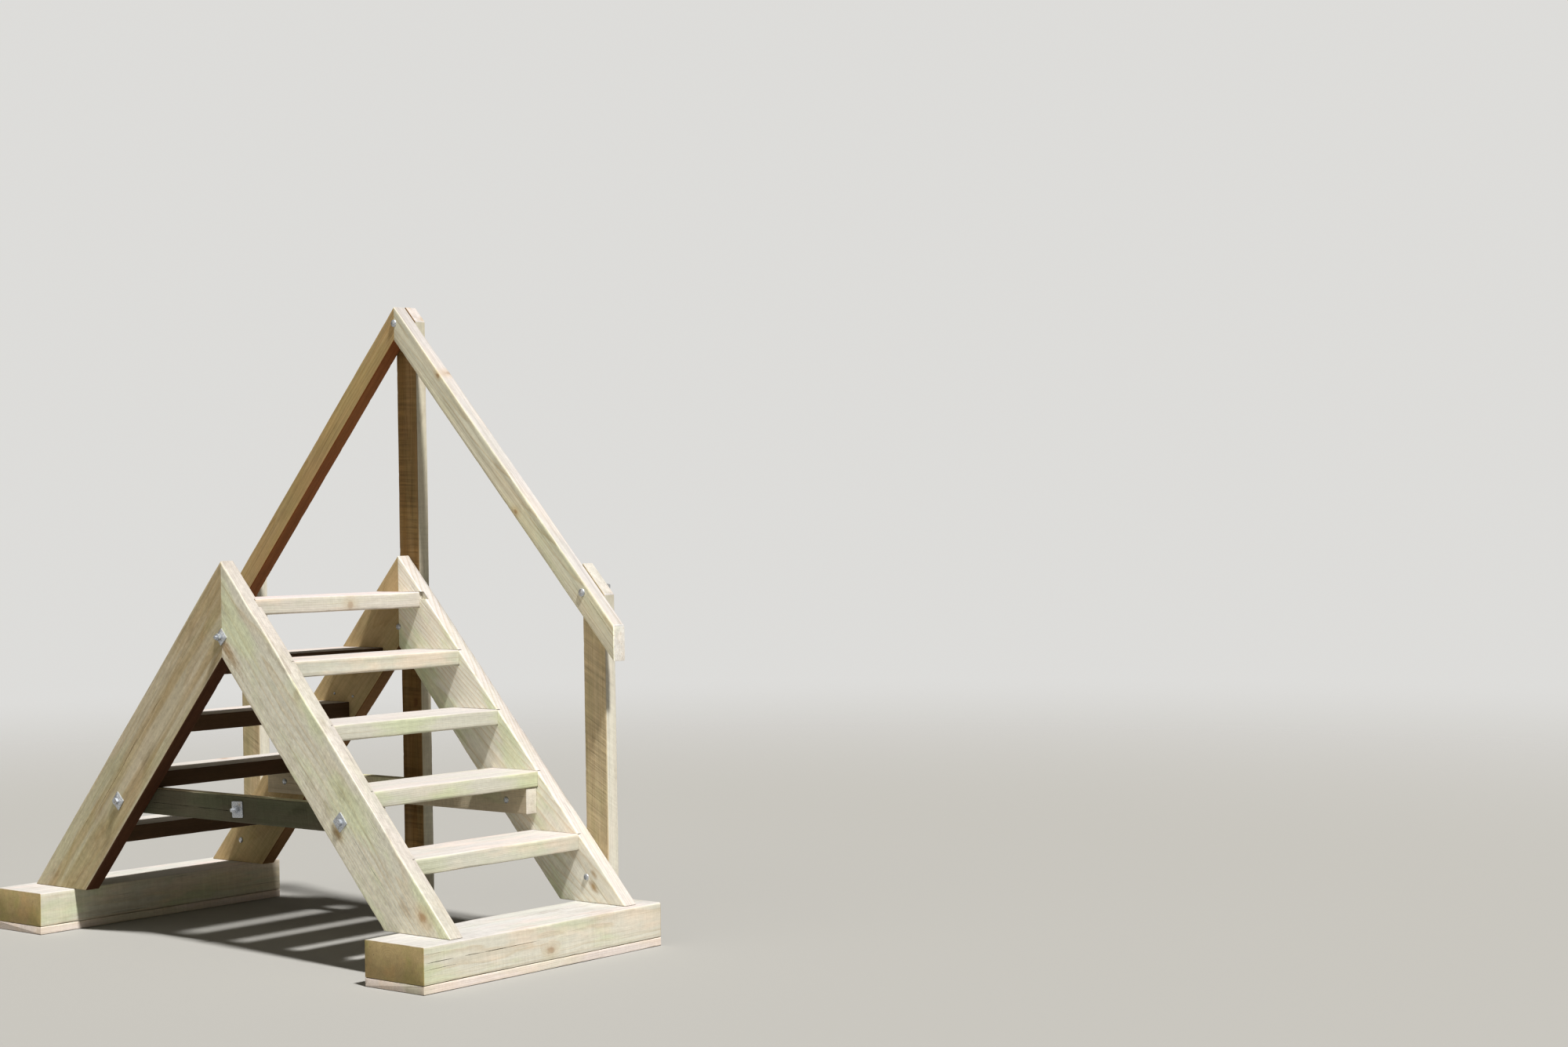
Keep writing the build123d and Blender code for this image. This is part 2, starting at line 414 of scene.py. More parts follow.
        # Each named face is made lighter where the key light falls and darker where its shade falls: painted
        # light and shade.
        for side, tone in self.look["painted_light_and_shade"].items():
            colour = self.tint(colour, self.on_face(side), tone)
        return colour

    def surface(self, band, saw, check):
        rough = self.range(self.fibre, 0.2, 0.8, 0.86, 0.70, smooth=False)
        rough = self.sub(rough, self.mul(self.worn, 0.08))
        self.set("Roughness", rough)
        self.set("Specular IOR Level", 0.28)
        height = self.add(self.mul(band, 0.35), self.mul(self.fibre, 0.55))
        height = self.add(height, self.mul(saw, 2.2 * self.look["saw"][2] + 0.2))
        height = self.sub(height, self.mul(check, 2.0))
        if self.knots:
            height = self.add(height, self.mul(self.knots[0], 0.5))
        self.set("Normal", self.bump(height, 0.55, 0.0011))


# Boards as meshes
SIDES = ("z1", "y0", "z0", "y1")
SIDE_NORMAL = {"z1": (0, 1), "y0": (-1, 0), "z0": (0, -1), "y1": (1, 0)}
CORNER_COLUMNS = 4
ROW_STEP = 0.008
END_ROUND = 0.0015

# A drying shake: the side it is on, its place across that side, where it begins and ends as shares of
# the length, and how it wanders, gapes and closes again
Crack = namedtuple("Crack", "side pos begin end width depth wander seed gaps wave", defaults=(0.1, 0.12))


class Board:
    """A sawn timber: x along the grain, y across it, z through it, in its own frame.

    Its section and square ends come from its CAD node's box, unless y, start or end is given: an
    end cut is x as a function of y and z. arris gives the rounding at the corners (y0,z1), (y0,z0),
    (y1,z0), (y1,z1), and play how much it varies. wane lists thicker rounding as (corner, place,
    half length, size). rough and hollow are depths, and cell is the spacing of the columns.
    """

    def __init__(self, name, slot, axes, seed, look, origin=(0, 0, 0), y=None, start=None, end=None,
                 cell=0.006, arris=(0.002,) * 4, play=0.45, cracks=(), wane=(), rough=0.0006,
                 hollow=0.0, ridge=False, cuts=()):
        self.name, self.slot, self.seed, self.look = name, slot, seed, look
        self.origin = np.array(origin, float)
        ex, ey = (Vector(axis).normalized() for axis in axes)
        self.axes = np.array([list(ex), list(ey), list(ex.cross(ey))])
        box = (np.array(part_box(name)) - self.origin) @ self.axes.T
        (x0, y0, z0), (x1, y1, z1) = box.min(0), box.max(0)
        self.y, self.z = y or (y0, y1), (z0, z1)
        self.start, self.end = start or plane(x0), end or plane(x1)
        self.cell, self.arris, self.play, self.wane = cell, arris, play, wane
        self.cracks, self.rough, self.hollow = cracks, rough, hollow
        self.ridge, self.cuts = ridge, cuts

    def columns(self, margin):
        """The loop round the section: ('side', side, (y, z), crack tag) or ('corner', k, q, None)."""
        (y0, y1), (z0, z1) = self.y, self.z
        spans = {"z1": (y1, y0), "y0": (z1, z0), "z0": (y0, y1), "y1": (z0, z1)}
        loop = []
        for k, side in enumerate(SIDES):
            a, b = spans[side]
            lo, hi = min(a, b), max(a, b)
            n = max(2, 2 * int(round((hi - lo - 2 * margin) / self.cell / 2)))
            cols = [(v, None) for v in np.linspace(lo + margin, hi - margin, n + 1)]
            for i, c in enumerate(self.cracks):
                if c.side != side:
                    continue
                half = c.width / 2
                cols = [e for e in cols if abs(e[0] - c.pos) > half + 0.0012]
                cols += [(c.pos + half * f, (i, f)) for f in (-1, -0.25, 0.25, 1)]
            cols.sort(key=lambda e: e[0], reverse=a > b)
            for v, tag in cols:
                place = {"z1": (v, z1), "y0": (y0, v), "z0": (v, z0), "y1": (y1, v)}[side]
                loop.append(("side", side, place, tag))
            loop += [("corner", k, q, None) for q in range(CORNER_COLUMNS)]
        return loop

    def rows(self, length):
        """Places along the board from 0 to 1, closer together where the ends are rounded."""
        s = np.linspace(0, 1, max(4, int(round(length / ROW_STEP))) + 1)
        near = np.array([0.0, 0.3, 1.0, 2.2]) * END_ROUND / length
        clear = 3 * END_ROUND / length
        s = s[(s > clear) & (s < 1 - clear)]
        return np.unique(np.concatenate([s, near, 1 - near]))

    def corner_margin(self):
        """The room kept at each side of a flat side for its rounded corners."""
        room = max(self.arris) * (1 + self.play) + CORNER
        room = max([room] + [size + 0.002 for *_, size in self.wane])
        return min(room, 0.45 * min(self.y[1] - self.y[0], self.z[1] - self.z[0]))

    def corner_radius(self, k, xs, margin):
        r = self.arris[k] * (1 + self.play * 2 * (noise(xs / 0.11, k * 7.3, 0, self.seed + 11) - 0.5))
        r = r + np.clip(noise(xs / 0.021, k * 5.1, 0, self.seed + 17) - 0.80, 0, 1) * 0.010
        for corner, centre, half, size in self.wane:
            if corner == k:
                hump = np.clip(1 - ((xs - centre) / half) ** 2, 0, 1)
                r = r + size * hump * (0.35 + 0.65 * noise(xs / 0.02, 3, 1, self.seed + 5))
        return np.minimum(r, margin - 0.0008)

    def section(self, loop, xs, margin):
        """Each row's outline with its corners rounded, and which way it faces."""
        spot = np.zeros((len(xs), len(loop), 2))
        normal = np.zeros(spot.shape)
        for j, (kind, which, place, _) in enumerate(loop):
            if kind == "side":
                spot[:, j], normal[:, j] = place, SIDE_NORMAL[which]
                continue
            r = self.corner_radius(which, xs, margin)
            a = place * math.pi / 2 / (CORNER_COLUMNS - 1)
            first, second = (np.array(SIDE_NORMAL[SIDES[(which + k) % 4]], float) for k in (0, 1))
            sign = first + second
            corner = self.y[int(sign[0] > 0)], self.z[int(sign[1] > 0)]
            normal[:, j] = first * math.cos(a) + second * math.sin(a)
            spot[:, j] = corner + (normal[:, j] - sign) * r[:, None]
        return spot, normal

    def crack_opening(self, c, xs, length):
        """How far a crack is open at each row, 0 to 1. It tapers to an end inside the board."""
        u = xs / length
        t = np.clip((u - c.begin) / (c.end - c.begin), 0, 1)
        taper = np.ones(len(xs))
        if c.begin > 0:
            taper = np.minimum(taper, t / 0.25)
        if c.end < 1:
            taper = np.minimum(taper, (1 - t) / 0.25)
        taper = np.where((u >= c.begin) & (u <= c.end), np.sqrt(np.clip(taper, 0, 1)), 0)
        gaps = np.clip((noise(xs / 0.045, 9.1, 2.2, c.seed + 2) - c.gaps) * 4, 0, 1)
        return taper * gaps

    def open_cracks(self, loop, xs, length, spot):
        """Draw the columns round each crack along its wandering line, and return their depth."""
        depth = np.zeros(spot.shape[:2])
        for i, c in enumerate(self.cracks):
            axis = 0 if c.side[0] == "z" else 1
            wander = (noise(xs / c.wave, 0.3, 0.7, c.seed) - 0.5) * c.wander
            wander = wander + (noise(xs / 0.014, 4.3, 0.7, c.seed + 1) - 0.5) * c.wander * 0.12
            amount = self.crack_opening(c, xs, length)
            ragged = 0.6 + 0.8 * noise(xs / 0.03, 1, 5, c.seed + 3)
            for j, (kind, which, place, tag) in enumerate(loop):
                if kind != "side" or which != c.side:
                    continue
                offset = place[axis] - c.pos
                spot[:, j, axis] += wander * math.exp(-((offset / 0.016) ** 2))
                if tag and tag[0] == i:
                    spot[:, j, axis] -= offset * (1 - np.clip(0.15 + 0.85 * amount * ragged, 0, 1))
                    if abs(tag[1]) < 0.5:
                        depth[:, j] += c.depth * amount
        return depth

    def wear(self, loop, s, length, spot):
        """How far the surface lies inside the sawn outline: roughness, and a trodden hollow."""
        along = np.repeat((s * length)[:, None], len(loop), 1)
        low = noise(along / 0.21, spot[..., 0] / 0.09 + 3, spot[..., 1] / 0.09, self.seed + 1)
        mid = noise(along / 0.05, spot[..., 0] / 0.022, spot[..., 1] / 0.022, self.seed + 2)
        inward = self.rough * (0.9 * low + 0.5 * mid)
        if self.hollow:
            top = np.array([1.0 if e[1] == "z1" else 0.0 for e in loop])
            u = (s - 0.5) / 0.30
            v = (spot[..., 0] - sum(self.y) / 2) / ((self.y[1] - self.y[0]) * 0.42)
            inward += self.hollow * top * np.exp(-(u[:, None] ** 2)) * np.exp(-(v**2))
        return inward

    def build(self):
        margin = self.corner_margin()
        loop = self.columns(margin)
        y_mid, z_mid = sum(self.y) / 2, sum(self.z) / 2
        length = float(self.end(y_mid, z_mid) - self.start(y_mid, z_mid))
        s = self.rows(length)
        spot, normal = self.section(loop, s * length, margin)
        depth = self.open_cracks(loop, s * length, length, spot)
        inward = self.wear(loop, s, length, spot) + depth
        tail = np.minimum(s, 1 - s) * length
        curve = np.sqrt(np.clip(END_ROUND**2 - (END_ROUND - tail) ** 2, 0, None))
        draw = np.where(tail < END_ROUND, END_ROUND - curve, 0.0)
        spot -= normal * (inward + draw[:, None])[..., None]
        y, z = spot[..., 0], spot[..., 1]
        x = self.start(y, z) * (1 - s[:, None]) + self.end(y, z) * s[:, None]
        mesh = self.skin(np.stack([x, y, z], -1).reshape(-1, 3), len(s), loop)
        mesh.materials.append(Wood(self).material)
        if self.cuts:
            mesh = carve(mesh, self.cuts)
        self.paint(mesh)
        place_piece(mesh, 38, self.name)

    def skin(self, local, rows, loop):
        """A closed mesh over the rows of columns, in the scene's frame."""
        count = len(loop)
        faces = []
        for i in range(rows - 1):
            a, b = i * count, (i + 1) * count
            faces += [(a + j, a + (j + 1) % count, b + (j + 1) % count, b + j) for j in range(count)]
        for base, flip in ((0, True), ((rows - 1) * count, False)):
            for part in self.cap(loop):
                ids = [base + j for j in part]
                faces.append(tuple(ids[::-1] if flip else ids))
        mesh = bpy.data.meshes.new(self.name)
        mesh.from_pydata(local.tolist(), [], faces)
        bm = bmesh.new()
        bm.from_mesh(mesh)
        bmesh.ops.triangulate(bm, faces=[f for f in bm.faces if len(f.verts) > 4])
        if bm.calc_volume(signed=True) < 0:
            bmesh.ops.reverse_faces(bm, faces=bm.faces)
        bm.to_mesh(mesh)
        bm.free()
        mesh.vertices.foreach_set("co", (local @ self.axes + self.origin).astype(np.float32).ravel())
        mesh.update()
        return mesh

    def cap(self, loop):
        """The end's outline, in two parts where the end is cut to a ridge."""
        count = len(loop)
        if not self.ridge:
            return [list(range(count))]
        a, b = [j for j, e in enumerate(loop) if e[0] == "side" and e[1][0] == "z" and abs(e[2][0]) < 1e-6]
        return [list(range(a, b + 1)), list(range(b, count)) + list(range(0, a + 1))]

    def paint(self, mesh):
        """Give each vertex its place in the grain, and how near it is to an arris or an end."""
        local = (vertex_places(mesh) - self.origin) @ self.axes.T
        x, y, z = local.T
        across = np.minimum(np.abs(y - self.y[0]), np.abs(y - self.y[1]))
        through = np.minimum(np.abs(z - self.z[0]), np.abs(z - self.z[1]))
        worn = np.clip(1.6 - np.hypot(across, through) / 0.005, 0, 1)
        ends = np.clip(np.minimum(x - self.start(y, z), self.end(y, z) - x), 0, None)
        vertex_layer(mesh, "worn", worn)
        vertex_layer(mesh, "butt", np.exp(-ends / 0.04))
        vertex_layer(mesh, "grain", local)


def new_object(name, data):
    obj = bpy.data.objects.new(name, data)
    bpy.context.scene.collection.objects.link(obj)
    return obj


def new_mesh(bm, name):
    mesh = bpy.data.meshes.new(name)
    bm.to_mesh(mesh)
    bm.free()
    return mesh


def carve(mesh, cuts):
    """Cut prisms out of a mesh. Each is an outline in x and z, and the two y that it lies between."""
    bm = bmesh.new()
    for outline, ya, yb in cuts:
        rings = [[bm.verts.new((x, y, z)) for x, z in outline] for y in (ya, yb)]
        bm.faces.new(rings[0])
        bm.faces.new(rings[1][::-1])
        for i in range(len(outline)):
            j = (i + 1) % len(outline)
            bm.faces.new((rings[0][j], rings[0][i], rings[1][i], rings[1][j]))
    bmesh.ops.recalc_face_normals(bm, faces=bm.faces)
    blocks = new_mesh(bm, "cut_blocks")
    pair = [new_object(m.name + "_carving", m) for m in (mesh, blocks)]
    modifier = pair[0].modifiers.new("cut", "BOOLEAN")
    modifier.object, modifier.operation, modifier.solver = pair[1], "DIFFERENCE", "EXACT"
    shaped = pair[0].evaluated_get(bpy.context.evaluated_depsgraph_get())
    result = bpy.data.meshes.new_from_object(shaped)
    for obj in pair:
        bpy.data.objects.remove(obj)
    bpy.data.meshes.remove(blocks)
    return result


def vertex_places(mesh):
    co = np.zeros(len(mesh.vertices) * 3, np.float32)
    mesh.vertices.foreach_get("co", co)
    return co.reshape(-1, 3).astype(float)


def vertex_layer(mesh, name, values):
    """Give each vertex a number or a vector that the materials read."""
    kind, key = ("FLOAT", "value") if values.ndim == 1 else ("FLOAT_VECTOR", "vector")
    layer = mesh.attributes.new(name, kind, "POINT")
    layer.data.foreach_set(key, values.astype(np.float32).ravel())


def place_piece(mesh, sharp, replaced=None):
    """Shade a mesh smooth but for edges of over sharp degrees, and add it to the object."""
    mesh.polygons.foreach_set("use_smooth", [True] * len(mesh.polygons))
    mesh.set_sharp_from_angle(angle=math.radians(sharp))
    mesh.name = "board_" + replaced if replaced else mesh.name
    obj = new_object(mesh.name, mesh)
    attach(obj, "root")
    if replaced:
        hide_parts(replaced)


def plane(c, cy=0.0):
    """An end cut: x as a function of y and z."""
    return lambda y, z: c + cy * y


# The stringers
STRINGER_LOOKS = {
    "front_open_side": dict(
        pith=(-0.06, -0.16), tilt=(0.05, 0.02), base=(0.60, 0.575, 0.525), contrast=0.42, green=0.44,
        pink=0.06, painted_highlight_face="y1", mottle=0.15, lines=0.14, saw=(0.35, 0.005, 0.30), dirt=0.50, edge=0.12,
        knots=[(1.316, -0.046, 0.025, 0.012)], knot=0.55,
        stains=[(0.215, -0.165, 0.025, 0.110, 0.026, 0.75), (0.922, -0.160, 0.025, 0.038, 0.022, 0.8),
                (1.255, -0.085, 0.025, 0.050, 0.022, 0.35)],
        # Painted light: the outer face lighter and the top edge darker.
        painted_light_and_shade={"z1": (1.42, 1.45, 1.38), "y1": (0.86, 0.85, 0.87)},
    ),
    "back_open_side": dict(
        pith=(-0.09, 0.14), tilt=(-0.04, 0.02), base=(0.60, 0.52, 0.39), contrast=0.45, green=0.22,
        pink=0.20, brown=0.50, streak=0.20, mottle=0.12, lines=0.14, saw=(-0.08, 0.012, 0.15), dirt=0.45,
        # The outer face a little lighter, and painted shade on the underside.
        painted_light_and_shade={"z0": (1.05, 1.09, 1.10), "y0": (0.18, 0.085, 0.05)},
    ),
    "front_rail_side": dict(
        pith=(-0.26, -0.12), tilt=(0.17, 0.0), drift=0.012, ring=0.0085, base=(0.72, 0.68, 0.615),
        contrast=0.60, green=0.60, pink=0.22, painted_highlight_face="y1", saw=(0.2, 0.006, 0.2), dirt=0.15,
        stains=[(1.305, -0.062, 0.025, 0.030, 0.016, 0.9), (1.28, -0.035, 0.025, 0.022, 0.010, 0.7)],
        # Painted light: the inner face lighter and the top edge darker.
        painted_light_and_shade={"z1": (1.38, 1.44, 1.43), "y1": (0.80, 0.80, 0.85)},
    ),
    "back_rail_side": dict(
        pith=(-0.05, 0.15), tilt=(-0.06, 0.03), base=(0.72, 0.60, 0.43), contrast=0.42, green=0.2,
        pink=0.3, saw=(-0.2, 0.006, 0.3), dirt=0.3, knots=[(0.80, -0.12, -0.025, 0.010)], knot=0.5,
        # Painted shade on the inner face and on the underside.
        painted_light_and_shade={"z0": (0.78, 0.73, 0.58), "y0": (0.40, 0.26, 0.15)},
    ),
}
STRINGER_WEAR = {
    "front_open_side": dict(
        wane=[(3, 0.45, 0.11, 0.007), (3, 0.16, 0.05, 0.004), (3, 0.95, 0.06, 0.003)],
        cracks=[Crack("z1", -0.118, 0.60, 0.93, 0.0016, 0.010, 0.010, 5)],
    ),
    "back_open_side": dict(cracks=[Crack("z0", -0.07, 0.30, 0.75, 0.0016, 0.010, 0.012, 6)]),
}


def stringers():
    sides = (("open_side", OPEN_OUTER, OPEN_INNER, 0), ("rail_side", RAIL_OUTER, RAIL_INNER, 20))
    for flight, sign, seed in (("front", 1, 100), ("back", -1, 110)):
        for side, outer, inner, more_seed in sides:
            key = flight + "_" + side
            Board(
                "stringer_" + key, "stringer_timber", down_slope(sign), seed + more_seed, STRINGER_LOOKS[key],
                origin=(0, (outer + inner) / 2, APEX_Z), y=(-STRINGER_DEPTH, 0.0),
                start=plane(0.0, -SLOPE), end=plane((APEX_Z - SILL_TOP) / SIN, 1 / SLOPE),
                arris=(0.003, 0.003, 0.004, 0.004), cuts=housings(sign, inner, outer),
                **STRINGER_WEAR.get(key, {}),
            ).build()


def housings(sign, inner, outer):
    """What is cut from a stringer's inner face: a stopped housing for each tread, the top one slotted."""
    proud, past_apex = 0.004, -0.01
    ys = (inner - HOUSING, inner + proud) if outer < inner else (inner - proud, inner + HOUSING)
    cuts = []
    for name in FRONT_TREADS:
        (back, _, under), (nose, _, over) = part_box(name)
        back, under = back - HOUSING_GAP, under - HOUSING_GAP
        nose, over = nose + HOUSING_GAP, over + HOUSING_GAP
        cuts.append([(back, under), (nose, under), (nose, over), (back, over)])
    (_, _, under), (nose, _, top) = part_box("tread_top")
    under, nose, over = under - HOUSING_GAP, nose + HOUSING_GAP, top + HOUSING_GAP
    slot_under = top - TOP_SLOT
    slot_end = (APEX_Z - slot_under) / SLOPE + proud
    cuts.append([(past_apex, under), (nose, under), (nose, slot_under), (slot_end, slot_under),
                 (slot_end, over), (past_apex, over)])
    return [([(sign * x, z) for x, z in outline], *ys) for outline in cuts]


# The treads
TREAD_LOOK = dict(base=(0.590, 0.585, 0.510), saw=(0.08, 0.005, 0.12), dirt=0.12, check=0.35, edge=0.12,
                  painted_highlight_face="z1", contrast=0.24)
# Painted light: the tread tops toned down and bluer where the key light falls, and painted shade on the back
# treads' heels, under the treads above.
TREAD_TOP_PAINTED_LIGHT = (0.92, 0.89, 1.00)
TREAD_HEEL_PAINTED_SHADE = (0.18, 0.11, 0.07)
BACK_TREAD_CONTRAST = 0.34
TREAD_LOOKS = {
    "tread_front_1": dict(pith=(-0.90, -0.01), ring=0.0048, green=0.35, pink=0.45),
    "tread_front_2": dict(pith=(-0.66, 0.40), ring=0.0055, green=0.75, pink=0.20),
    "tread_front_3": dict(pith=(-0.50, 0.56), ring=0.0052, green=0.62, pink=0.15),
    "tread_front_4": dict(pith=(-0.12, 0.78), ring=0.0060, contrast=0.20, green=0.25, pink=0.55),
    "tread_top": dict(pith=(-0.02, 1.16), ring=0.0056, contrast=0.20, green=0.20, pink=0.65,
                      base=(0.65, 0.62, 0.56), knots=[(0.068, -0.10, 1.026, 0.008)], knot=0.35),
    "tread_back_1": dict(pith=(0.86, 0.20), ring=0.0050, green=0.4, pink=0.2),
    "tread_back_2": dict(pith=(0.66, 0.60), ring=0.0058, green=0.3, pink=0.3,
                         knots=[(0.12, 0.60, 0.5145, 0.009)], knot=0.5),
    "tread_back_3": dict(pith=(0.42, 0.58), ring=0.0050, green=0.3, pink=0.3),
    "tread_back_4": dict(pith=(0.20, 0.99), ring=0.0054, green=0.4, pink=0.3),
}


def tread(name, seed):
    """A tread, rounder at its nose than at its heel."""
    nose, heel = 0.0055, 0.0035
    look = {**TREAD_LOOK, **TREAD_LOOKS[name], "painted_light_and_shade": {"z1": TREAD_TOP_PAINTED_LIGHT}}
    arris = (nose, nose, heel, heel)
    if "back" in name:
        # Painted shade on the back tread's heel, the face towards +X.
        look["contrast"], look["painted_light_and_shade"]["y0"] = BACK_TREAD_CONTRAST, TREAD_HEEL_PAINTED_SHADE
        arris = (heel, heel, nose, nose)
    Board(name, "tread_timber", ALONG_Y, seed, look, arris=arris, hollow=0.0012).build()


def treads():
    for i, name in enumerate(FRONT_TREADS, start=1):
        tread(name, 300 + i)
        tread(name.replace("front", "back"), 320 + i)
    tread("tread_top", 340)


# The sills and sole planks
SILL_CRACKS = {
    "front": [Crack("y0", 0.0872, 0.0, 0.46, 0.0019, 0.040, 0.006, 3, gaps=0.55, wave=0.2),
              Crack("y0", 0.0680, 0.0, 0.13, 0.0014, 0.016, 0.003, 7, gaps=0.2)],
    "back": [Crack("y1", 0.0800, 0.15, 1.0, 0.0026, 0.040, 0.008, 9)],
}
SILL_LOOK = dict(
    ring=0.0062, base=(0.655, 0.635, 0.550), contrast=0.36, green=0.60, pink=0.50, painted_highlight_face="z1", knot=0.45,
    # Painted light: the top toned down and bluer where the key light falls.
    end=(0.70, 0.58, 0.37), painted_light_and_shade={"z1": (0.85, 0.86, 0.98)},
    saw=(0.06, 0.0065, 0.22), dirt=0.28, check=0.8,
)
SOLE_LOOK = dict(
    ring=0.005, base=(0.76, 0.69, 0.66), contrast=0.32, green=0.35, pink=0.45,
    saw=(0.05, 0.006, 0.3), dirt=0.25,
)


def bearers():
    for flight, seed in (("front", 400), ("back", 420)):
        (x0, _, _), (x1, _, _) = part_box("sill_" + flight)
        mid, outside = -(x0 + x1) / 2, -max(x0, x1, key=abs)
        top_crack = Crack("z1", mid + 0.03, 0.55, 1.0, 0.0022, 0.030, 0.010, 12)
        look = dict(SILL_LOOK, pith=(mid + 0.02, 0.088), knots=[(0.009, outside, 0.054, 0.010)])
        Board("sill_" + flight, "sill_timber", ALONG_Y, seed, look, cell=0.007, rough=0.0010,
              arris=(0.0045, 0.003, 0.003, 0.0045), cracks=SILL_CRACKS[flight] + [top_crack]).build()
        Board("sole_plank_" + flight, "sill_timber", ALONG_Y, seed + 5, dict(SOLE_LOOK, pith=(mid, -0.12)),
              cell=0.007, rough=0.0008).build()


# The ties
TIE_LOOK = dict(
    # The end tone is a painted highlight on the sunlit end cuts.
    ring=0.0045, base=(0.64, 0.57, 0.44), contrast=0.5, green=0.5, pink=0.1, end=(1.10, 1.19, 1.40),
    saw=(0.15, 0.006, 0.5), dirt=0.5,
)


def ties():
    crack = Crack("y0", 0.418, 0.05, 0.55, 0.0014, 0.008, 0.008, 15)
    # Painted shade on the open side tie's face towards -Y, which lies under the treads.
    for side, y0, painted_light_and_shade, seed in (("open_side", OPEN_INNER, {"y0": (0.19, 0.20, 0.18)}, 500),
                                  ("rail_side", RAIL_TIE_FACE, {}, 520)):
        Board("tie_" + side, "tie_timber", ALONG_X, seed, dict(TIE_LOOK, pith=(y0 + 0.02, 0.47), painted_light_and_shade=painted_light_and_shade),
              cell=0.0055, cracks=[crack]).build()


# The handrails
RAIL_LOOK = dict(
    tilt=(0.01, 0.01), ring=0.0040, base=(0.68, 0.65, 0.61), contrast=0.62, green=0.24, pink=0.25,
    # The end tone is a painted highlight on the sunlit end cuts.
    painted_highlight_face="y1", streak=0.26, lines=0.22, end=(1.30, 1.36, 1.42), saw=(0.1, 0.006, 0.1), dirt=0.18,
    edge=0.1,
)
RAIL_LOOKS = {
    # Painted light: the front rail's face towards -Y lighter and its top darker; the back rail's face towards
    # -Y darker and browner, and painted shade on its underside.
    "front": dict(RAIL_LOOK, pith=(-0.02, 0.09), painted_light_and_shade={"z1": (1.25, 1.28, 1.13), "y1": (0.86, 0.87, 0.92)},
                  knots=[(0.305, -0.010, 0.025, 0.006), (0.857, -0.060, 0.025, 0.006)]),
    "back": dict(RAIL_LOOK, pith=(-0.02, -0.09),
                 painted_light_and_shade={"z0": (0.85, 0.67, 0.395), "y0": (0.50, 0.22, 0.092)}),
}


def handrail():
    end_crack = Crack("z1", -0.0215, 0.885, 1.0, 0.0014, 0.006, 0.002, 21, gaps=0.15)
    for flight, sign, cracks, seed in (("front", 1, [end_crack], 600), ("back", -1, [], 620)):
        Board(
            "handrail_" + flight, "rail_timber", down_slope(sign), seed, RAIL_LOOKS[flight],
            origin=(0, (RAIL_INNER + RAIL_OUTER) / 2, RAIL_APEX_Z), y=(-RAIL_DEPTH, 0.0),
            start=plane(0.0, -SLOPE), end=plane(RAIL_END * STRETCH, -SLOPE), cell=0.005,
            arris=(0.003, 0.003, 0.005, 0.005), play=0.25, cracks=cracks,
        ).build()


# The posts
POST_LOOK = dict(
    ring=0.0042, base=(0.80, 0.75, 0.62), contrast=0.55, green=0.30, pink=0.2, streak=0.14, lines=0.05,
    planed=True, painted_highlight_face="y1", end=(0.88, 0.88, 1.05), dirt=0.35, check=0.7,
)


def posts():
    shape = dict(cell=0.0055, rough=0.0008)
    for flight, sign, seed in (("front", 1, 700), ("back", -1, 720)):
        look = dict(POST_LOOK, pith=(sign * POST_X + 0.01, 0.36), saw=(0.48, 0.0075, 1.0),
                    # Painted light and shade: the face towards -Y darker and browner, the face towards +X
                    # lighter and bluer.
                    painted_light_and_shade={"z0": (0.86, 0.77, 0.62), "y1": (1.00, 1.04, 1.10)})
        Board("rail_post_" + flight, "post_timber", ALONG_Z, seed, look,
              end=plane(RAIL_APEX_Z, -sign * SLOPE), **shape).build()
    look = dict(POST_LOOK, pith=(0.015, 0.35), knots=[(0.70, 0.02, RAIL_OUTER, 0.010)], knot=0.5,
                saw=(0.04, 0.0095, 1.0), brown=0.5,
                # Painted shade on the face towards -Y, in the rail's shadow; the face towards +X a little
                # lighter.
                painted_light_and_shade={"z0": (0.42, 0.30, 0.17), "y1": (1.00, 1.03, 1.06)})
    Board("rail_post_centre", "post_timber", ALONG_Z, 740, look,
          end=lambda y, z: RAIL_APEX_Z - SLOPE * np.abs(y), ridge=True, **shape).build()


# Galvanised fastenings
def steel():
    t = Tree("galvanised_steel")
    p = t.attribute("grain", vector=True)
    spangle = t.noise(p, 260.0)
    cloud = t.noise(p, 45.0, 3.0, 0.6)
    # The bluish grey is partly zinc's own colour and partly a painted reflection of a blue sky.
    colour = t.mix(t.range(spangle, 0.35, 0.65), (0.44, 0.47, 0.52), (0.68, 0.71, 0.76))
    colour = t.mix(t.mul(t.range(cloud, 0.58, 0.72), 0.5), colour, (0.40, 0.33, 0.25))
    t.set("Base Color", colour)
    t.set("Metallic", 0.75)
    t.set("Roughness", t.range(spangle, 0.3, 0.7, 0.52, 0.36))
    t.set("Normal", t.bump(t.add(spangle, cloud), 0.35, 0.0006))
    return t.material


WASHER_HALF, WASHER_T, WASHER_SUNK = 0.025, 0.0035, 0.0006
NUT_FLATS, NUT_HIGH, HEAD_HIGH = 0.019, 0.010, 0.0075
NUT_SEAT, STUD_SEAT = 0.0027, 0.010
STUD_RADIUS, THREAD_PITCH = 0.006, 0.00175
CORNER_UP = math.radians(45)


def facing(x, y, z, out, turn=0.0):
    """A placement whose +z points along -Y (out = -1) or +Y (out = 1)."""
    turned = Matrix.Rotation(turn, 4, "Y")
    base = Matrix.Rotation(math.radians(-90 * out), 4, "X")
    return Matrix.Translation((x, y, z)) @ turned @ base


